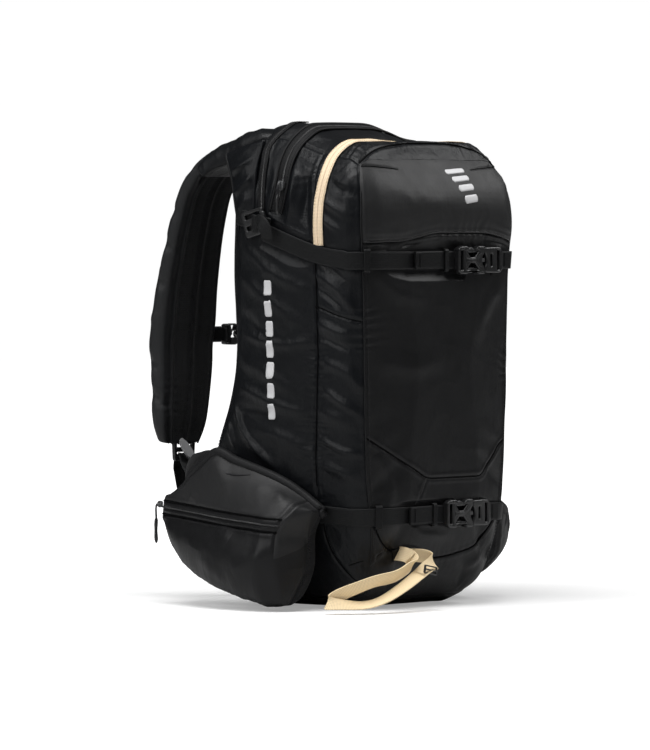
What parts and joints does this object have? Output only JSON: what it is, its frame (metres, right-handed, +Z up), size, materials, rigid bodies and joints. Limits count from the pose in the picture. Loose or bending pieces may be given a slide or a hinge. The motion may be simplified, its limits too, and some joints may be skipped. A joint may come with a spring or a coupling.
{
  "type": "avalanche airbag backpack",
  "caption": "Ski touring backpack with a fan-inflated airbag unit inside, shoulder straps with sternum buckle and trigger, pocketed hip belt, compression straps and ski loop.",
  "frame": {"origin": "centre of the flat base where the pack stands on the floor", "axes": "+Z up; -Y out of the front face, away from the wearer; +Y towards the wearer, who faces +Y; the wearer's left is -X"},
  "size_m": [0.426, 0.3972, 0.5854],
  "materials": {
    "bag_fabric": "thin black ripstop nylon, slightly wrinkled",
    "coated_fabric": "black polyurethane-coated nylon with a satin sheen",
    "mesh_foam": "black spacer mesh over moulded foam",
    "webbing": "black woven nylon webbing",
    "cream_webbing": "cream woven webbing",
    "cream_zip": "cream coated zip tape",
    "black_plastic": "moulded black acetal",
    "grey_plastic": "moulded grey nylon",
    "aluminium": "bare or anodised aluminium",
    "hdpe_sheet": "stiff polyethylene sheet",
    "airbag_nylon": "orange airbag nylon, folded",
    "battery_wrap": "shrink-wrapped battery cells",
    "circuit_board": "solder-masked circuit board",
    "signal_red": "signal red moulded plastic"
  },
  "bodies": {
    "pack": {"front_panel": "coated_fabric", "goggle_pocket": "coated_fabric", "left_side_panel": "bag_fabric", "right_side_panel": "bag_fabric", "base_panel": "coated_fabric", "top_panel": "bag_fabric", "back_pad": "mesh_foam", "lumbar_pad": "mesh_foam", "frame_sheet": "hdpe_sheet", "frame_stay": "aluminium", "main_zip_tape": "bag_fabric", "tool_zip_tape": "cream_zip", "upper_strap": "webbing", "lower_strap": "webbing", "upper_strap_adjuster": "black_plastic", "upper_buckle_plug": "black_plastic", "lower_buckle_plug": "black_plastic", "airbag": "airbag_nylon", "fan_housing": "black_plastic", "fan_cover": "black_plastic", "motor": "aluminium", "valve_body": "black_plastic", "supercapacitors": "black_plastic", "control_board": "circuit_board", "battery_box": "black_plastic", "battery_1": "battery_wrap", "battery_2": "battery_wrap", "trigger_cable": "black_plastic", "left_strap_webbing": "webbing", "right_strap_webbing": "webbing"},
    "upper_buckle": {"upper_buckle_socket": "black_plastic"},
    "lower_buckle": {"lower_buckle_socket": "black_plastic"},
    "haul_handle": {"haul_handle": "webbing"},
    "ski_loop": {"ski_loop": "cream_webbing", "ski_loop_slider": "grey_plastic"},
    "main_zip_pull": {"main_zip_pull": "black_plastic"},
    "impeller": {"impeller": "grey_plastic"},
    "valve_flap": {"valve_flap": "signal_red"},
    "release_lever": {"release_lever": "aluminium"},
    "battery_door": {"battery_door": "black_plastic"},
    "power_button": {"power_button": "signal_red"},
    "left_strap": {"left_shoulder_strap": "bag_fabric", "left_ladder_lock": "black_plastic"},
    "trigger": {"trigger_handle": "signal_red"},
    "right_strap": {"right_shoulder_strap": "bag_fabric", "right_ladder_lock": "black_plastic"},
    "sternum_left": {"sternum_strap_left": "webbing"},
    "sternum_socket": {"sternum_socket": "black_plastic"},
    "sternum_right": {"sternum_strap_right": "webbing", "sternum_plug": "black_plastic"},
    "left_wing": {"left_hip_wing": "bag_fabric", "left_hip_pocket": "coated_fabric", "left_belt_webbing": "webbing"},
    "left_zip": {"left_pocket_zip_pull": "black_plastic"},
    "hip_socket": {"hip_buckle_socket": "aluminium"},
    "right_wing": {"right_hip_wing": "bag_fabric", "right_hip_pocket": "coated_fabric", "right_belt_webbing": "webbing", "hip_buckle_plug": "aluminium"},
    "right_zip": {"right_pocket_zip_pull": "black_plastic"}
  },
  "joints": [
    {"name": "upper_buckle_release", "type": "slide", "parent": "pack", "child": "upper_buckle", "axis": [-1, 0, 0], "range_m": [0, 0.035]},
    {"name": "lower_buckle_release", "type": "slide", "parent": "pack", "child": "lower_buckle", "axis": [-1, 0, 0], "range_m": [0, 0.035]},
    {"name": "haul_handle_swing", "type": "hinge", "parent": "pack", "child": "haul_handle", "pos_m": [0, 0.114, 0.548], "axis": [1, 0, 0], "range_deg": [-80, 20]},
    {"name": "ski_loop_swing", "type": "hinge", "parent": "pack", "child": "ski_loop", "pos_m": [-0.045, -0.108, 0.066], "axis": [-1, 0, 0], "range_deg": [0, 60]},
    {"name": "main_zip_pull_swing", "type": "hinge", "parent": "pack", "child": "main_zip_pull", "pos_m": [-0.1569, 0.0104, 0.5088], "axis": [0, 1, 0], "range_deg": [0, 90]},
    {"name": "impeller_spin", "type": "hinge", "parent": "pack", "child": "impeller", "pos_m": [0, 0.0395, 0.362], "axis": [0, 1, 0], "continuous": true},
    {"name": "valve_flap_open", "type": "hinge", "parent": "pack", "child": "valve_flap", "pos_m": [0, 0.0525, 0.441], "axis": [-1, 0, 0], "range_deg": [0, 38]},
    {"name": "release_lever_turn", "type": "hinge", "parent": "pack", "child": "release_lever", "pos_m": [-0.0665, 0.03, 0.33], "axis": [0, -1, 0], "range_deg": [0, 30]},
    {"name": "battery_door_open", "type": "hinge", "parent": "pack", "child": "battery_door", "pos_m": [0, 0.0335, 0.0955], "axis": [1, 0, 0], "range_deg": [0, 100]},
    {"name": "power_button_press", "type": "slide", "parent": "pack", "child": "power_button", "axis": [0, 1, 0], "range_m": [0, 0.0015]},
    {"name": "left_strap_swing", "type": "hinge", "parent": "pack", "child": "left_strap", "pos_m": [0, 0.114, 0.53], "axis": [1, 0, 0], "range_deg": [-8, 30]},
    {"name": "trigger_pull", "type": "slide", "parent": "left_strap", "child": "trigger", "axis": [0, 0, -1], "range_m": [0, 0.05]},
    {"name": "right_strap_swing", "type": "hinge", "parent": "pack", "child": "right_strap", "pos_m": [0, 0.114, 0.53], "axis": [1, 0, 0], "range_deg": [-8, 30]},
    {"name": "sternum_left_height", "type": "slide", "parent": "left_strap", "child": "sternum_left", "axis": [0, 0, 1], "range_m": [-0.04, 0.05]},
    {"name": "sternum_release", "type": "slide", "parent": "sternum_left", "child": "sternum_socket", "axis": [-1, 0, 0], "range_m": [0, 0.018]},
    {"name": "sternum_right_height", "type": "slide", "parent": "right_strap", "child": "sternum_right", "axis": [0, 0, 1], "range_m": [-0.04, 0.05]},
    {"name": "left_hip_swing", "type": "hinge", "parent": "pack", "child": "left_wing", "pos_m": [-0.147, -0.031, 0.1], "axis": [0, 0, 1], "range_deg": [0, 35]},
    {"name": "left_pocket_zip", "type": "slide", "parent": "left_wing", "child": "left_zip", "axis": [-0.267, -0.9637, 0], "range_m": [0, 0.12]},
    {"name": "hip_buckle_adjust", "type": "slide", "parent": "left_wing", "child": "hip_socket", "axis": [1, 0, 0], "range_m": [-0.02, 0.02]},
    {"name": "right_hip_swing", "type": "hinge", "parent": "pack", "child": "right_wing", "pos_m": [0.147, -0.031, 0.1], "axis": [0, 0, -1], "range_deg": [0, 35]},
    {"name": "right_pocket_zip", "type": "slide", "parent": "right_wing", "child": "right_zip", "axis": [0.267, -0.9637, 0], "range_m": [0, 0.12]}
  ],
  "couplings": [
    {"joint": "right_strap_swing", "follows": "left_strap_swing", "ratio": 1},
    {"joint": "sternum_right_height", "follows": "sternum_left_height", "ratio": 1},
    {"joint": "release_lever_turn", "follows": "trigger_pull", "rad_per_m": 10.47}
  ]
}
